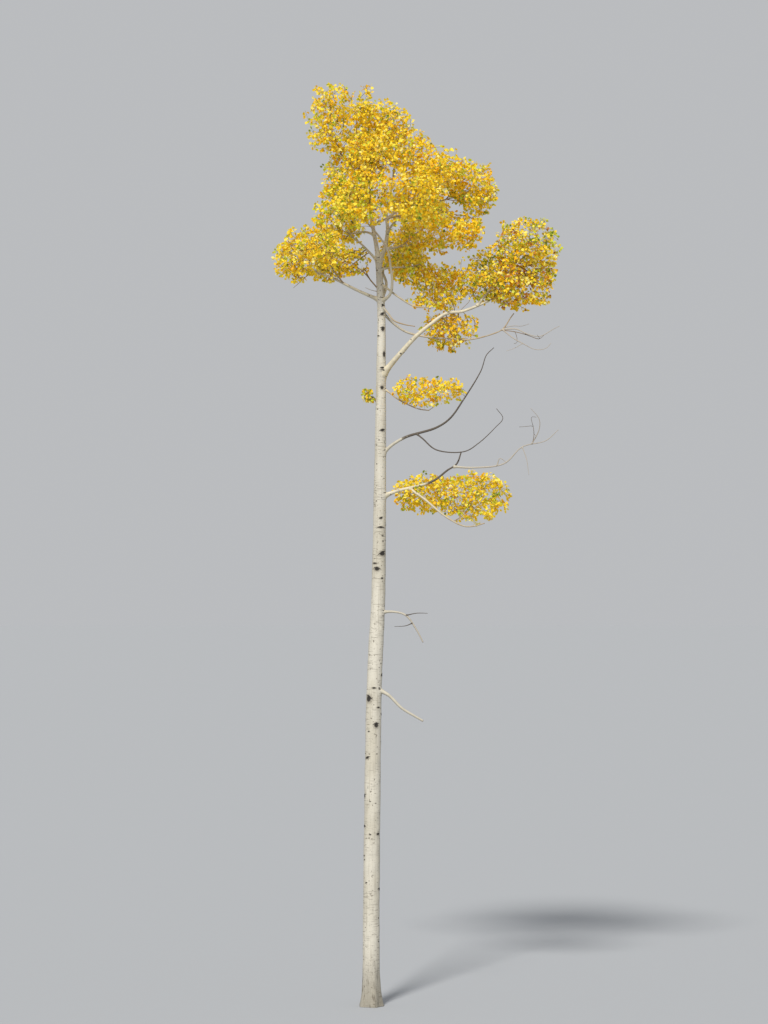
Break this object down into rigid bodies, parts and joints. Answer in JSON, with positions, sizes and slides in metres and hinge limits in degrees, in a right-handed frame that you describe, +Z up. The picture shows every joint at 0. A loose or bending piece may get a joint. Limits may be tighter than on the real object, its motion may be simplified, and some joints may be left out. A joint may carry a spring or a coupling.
{
  "type": "poplar tree",
  "caption": "Tall, slender white-barked poplar with a long bare trunk, a small airy crown of golden autumn leaves, leafy low boughs and bare dead limbs.",
  "frame": {"origin": "centre of the flat cut under the trunk, at ground level", "axes": "+Z up; +X to the right and -Y towards the camera, as the picture shows the tree"},
  "size_m": [5.103, 3.4046, 16.1197],
  "materials": {
    "trunk_bark": "smooth, matte, chalky white bark with dark knots",
    "limb_bark": "smooth, matte, cream to tan bark",
    "dead_bark": "dull, weathered grey bark",
    "foliage": "thin golden leaves with a soft sheen",
    "bare_twigs": "thin dull brown twigs"
  },
  "bodies": {
    "root": {"bare_limb_dark": "dead_bark", "bare_limb_dark_side": "dead_bark", "bare_limb_grey": "dead_bark", "bare_limb_long": "dead_bark", "bare_limb_short": "dead_bark", "bough_lobe": "limb_bark", "bough_main_right": "limb_bark", "leader_right": "limb_bark", "leaves_above_bough": "foliage", "leaves_back_left": "foliage", "leaves_back_low": "foliage", "leaves_back_right": "foliage", "leaves_below_bough": "foliage", "leaves_centre_right": "foliage", "leaves_far_right": "foliage", "leaves_front_left": "foliage", "leaves_front_right": "foliage", "leaves_left_front": "foliage", "leaves_left_inner": "foliage", "leaves_left_of_trunk": "foliage", "leaves_left_outer": "foliage", "leaves_left_sprig": "foliage", "leaves_lobe_inner": "foliage", "leaves_lobe_low": "foliage", "leaves_lobe_upper": "foliage", "leaves_low_by_trunk": "foliage", "leaves_low_inner": "foliage", "leaves_low_outer": "foliage", "leaves_lower_spray": "foliage", "leaves_mid_left": "foliage", "leaves_right_hanging": "foliage", "leaves_top_back": "foliage", "leaves_top_front": "foliage", "leaves_top_leader": "foliage", "leaves_top_left": "foliage", "leaves_top_right": "foliage", "leaves_top_right_low": "foliage", "leaves_upper_right": "foliage", "limb_back_left": "limb_bark", "limb_back_low": "limb_bark", "limb_back_right": "limb_bark", "limb_front_left": "limb_bark", "limb_front_right": "limb_bark", "limb_leader_side": "limb_bark", "limb_left": "limb_bark", "limb_left_small": "limb_bark", "limb_low": "limb_bark", "limb_low_leafy": "limb_bark", "limb_lower": "limb_bark", "limb_right_level": "limb_bark", "limb_right_low": "limb_bark", "limb_right_up": "limb_bark", "limb_upper_left": "limb_bark", "limb_upper_right": "limb_bark", "snag_lower": "dead_bark", "snag_upper": "dead_bark", "trunk": "trunk_bark", "twigs_bare_grey": "bare_twigs", "twigs_bare_long": "bare_twigs"}
  },
  "joints": []
}
